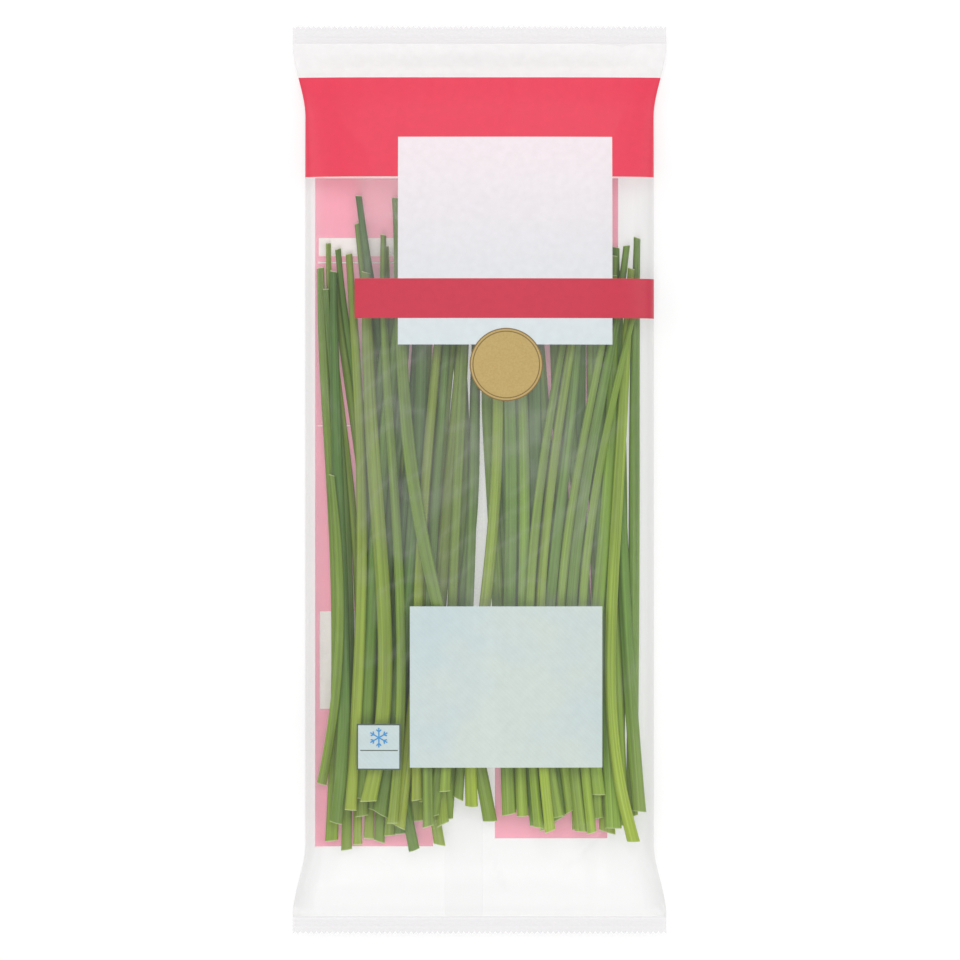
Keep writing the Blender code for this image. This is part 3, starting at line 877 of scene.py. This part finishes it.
seam.data.materials.append(film_materials["folded_seam_film"])
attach(seam, "root")
print("back seam:", len(faces), "faces")

# %% [markdown]
# ## The gold seal
#
# A plain round seal is printed on the front in gold ink, with a darker line round its edge.
# It is a disc of rings that follow the film just above its surface.

# %% Make the gold seal
GOLD_AT = (7.6 * MM, 32.8 * MM)
GOLD_RADIUS = 10.4 * MM
GOLD_RINGS = [0.0, 0.2, 0.4, 0.6, 0.8, 0.895, 0.925, 0.955, 0.97, 1.0]
GOLD_LINES = (5, 8)          # the numbers of the rings that are dark
GOLD_SIDES = 96
GOLD_LIFT = 0.10 * MM
GOLD_GRAIN = 0.5             # mm, the flakes in the ink

gold_ink, gold_tree, gold_shader = start_material(
    "gold_ink", Metallic=0.35, Roughness=0.42, Coat_Weight=0.5, Coat_Roughness=0.12,
)
flakes_at = add(gold_tree, "TexCoord").outputs["Object"]
flakes = add(gold_tree, "TexNoise", {"Vector": flakes_at, "Scale": 1000 / GOLD_GRAIN,
                                    "Detail": 2.0})
gold_shade = add(gold_tree, "Mix", {0: flakes.outputs[0], 6: linear("#AD9153"),
                                    7: linear("#C2AA6D")}, data_type="RGBA")
gold_tree.links.new(gold_shade.outputs[2], gold_shader.inputs["Base Color"])
gold_line, _, _ = start_material(
    "dark_gold_ink", Base_Color=linear("#7C6232"), Roughness=0.5, Coat_Weight=0.5,
    Coat_Roughness=0.12,
)

points = []
for share in GOLD_RINGS:
    for k in range(GOLD_SIDES):
        angle = 2 * math.pi * k / GOLD_SIDES
        x = GOLD_AT[0] + share * GOLD_RADIUS * math.cos(angle)
        y = GOLD_AT[1] + share * GOLD_RADIUS * math.sin(angle)
        points.append(on_film(x, y, GOLD_LIFT))
faces = []
for row in range(len(GOLD_RINGS) - 1):
    for k in range(GOLD_SIDES):
        j = (k + 1) % GOLD_SIDES
        a, b = row * GOLD_SIDES, (row + 1) * GOLD_SIDES
        faces.append((a + j, b + k, b + j) if row == 0 else (a + k, b + k, b + j, a + j))
gold_seal = link_mesh("gold_seal", points, faces)
gold_seal.data.materials.append(gold_ink)
gold_seal.data.materials.append(gold_line)
for number, polygon in enumerate(gold_seal.data.polygons):
    polygon.material_index = 1 if number // GOLD_SIDES in GOLD_LINES else 0
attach(gold_seal, "root")
print("gold seal:", len(faces), "faces")

# %% [markdown]
# ## The star in the small box
#
# The small box on the front holds a plain six-armed star in blue ink. It is drawn as thin
# bars that lie on the film, because a grid fine enough to hold it would be far larger.

# %% Make the star
STAR_AT = (-28.6 * MM, -73.2 * MM)
ARM_LENGTH = 2.8 * MM
TWIG_LENGTH = 0.95 * MM
TWIG_AT = 0.58         # share of the arm where its two twigs leave
TWIG_TURN = 0.8        # radians between a twig and its arm
BAR_WIDTH = 0.36 * MM
STAR_LIFT = 0.08 * MM
BAR_STEP = 0.002 * MM  # each bar lies this much over the one before

star_ink, star_tree, star_shader = start_material(
    "blue_ink", Roughness=0.5, Coat_Weight=0.3, Coat_Roughness=0.35,
)
star_place = add(star_tree, "TexCoord").outputs["Object"]
star_mottle = add(star_tree, "TexNoise", {"Vector": star_place, "Scale": 1000 / INK_MOTTLE})
star_shade = add(star_tree, "Mix", {0: star_mottle.outputs[0], 6: linear("#2F86C4"),
                                    7: linear("#3B93CF")}, data_type="RGBA")
star_tree.links.new(star_shade.outputs[2], star_shader.inputs["Base Color"])


def bar_corners(start, angle, length):
    """The four corners of a thin bar from a start point in a direction."""
    ahead = Vector((math.cos(angle), math.sin(angle)))
    aside = Vector((-ahead.y, ahead.x)) * BAR_WIDTH / 2
    return [start - aside, start + ahead * length - aside, start + ahead * length + aside,
            start + aside]


bars = []
for arm in range(6):
    angle = math.pi / 2 + arm * math.pi / 3
    bars.append(bar_corners(Vector(STAR_AT), angle, ARM_LENGTH))
    fork = Vector(STAR_AT) + Vector((math.cos(angle), math.sin(angle))) * TWIG_AT * ARM_LENGTH
    bars += [bar_corners(fork, angle + turn, TWIG_LENGTH) for turn in (-TWIG_TURN, TWIG_TURN)]
points = []
for number, bar in enumerate(bars):
    points += [on_film(corner.x, corner.y, STAR_LIFT + number * BAR_STEP) for corner in bar]
faces = [tuple(range(4 * k, 4 * k + 4)) for k in range(len(bars))]
star = link_mesh("six_armed_star", points, faces)
star.data.materials.append(star_ink)
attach(star, "root")
print("star:", len(bars), "bars")
